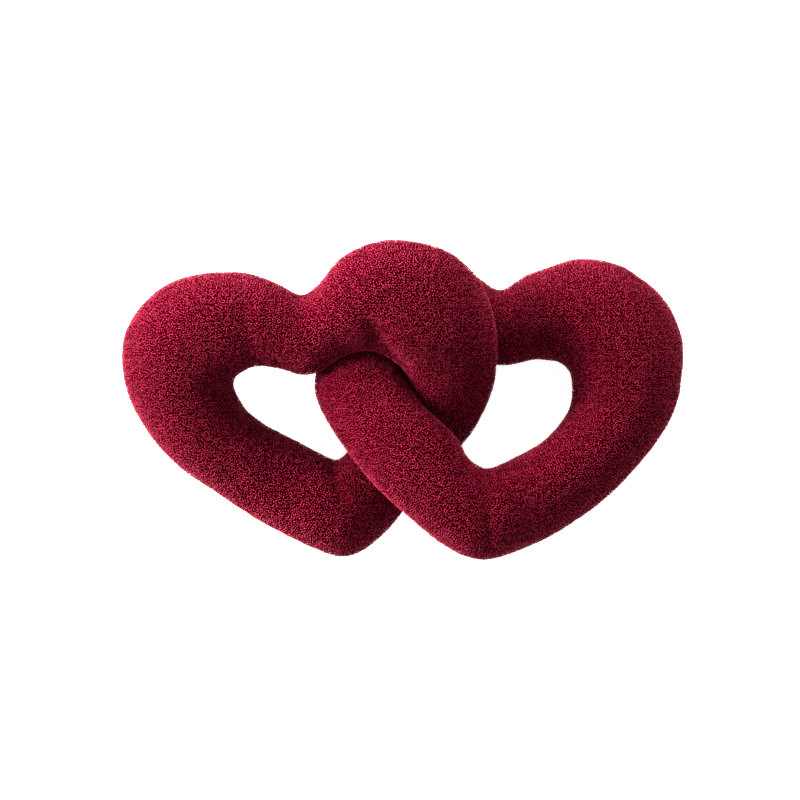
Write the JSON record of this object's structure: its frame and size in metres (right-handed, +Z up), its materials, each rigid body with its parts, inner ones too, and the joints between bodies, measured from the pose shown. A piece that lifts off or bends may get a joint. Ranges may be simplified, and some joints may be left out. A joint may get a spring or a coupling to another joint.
{
  "type": "linked double-heart cushion",
  "caption": "Cushion of stuffed heart-shaped rings linked through each other, in burgundy bouclé, lying on its back.",
  "frame": {"origin": "on the surface that the pair lies on, under the middle of its box", "axes": "+X along the pair's width from the left heart to the right one, +Y from the hearts' tips to their lobes, +Z up, away from the surface"},
  "size_m": [0.602, 0.342, 0.1621],
  "materials": {
    "boucle": "burgundy bouclé, short looped curls, matt with a soft sheen"
  },
  "bodies": {
    "root": {"heart_left": "boucle", "heart_right": "boucle"}
  },
  "joints": []
}
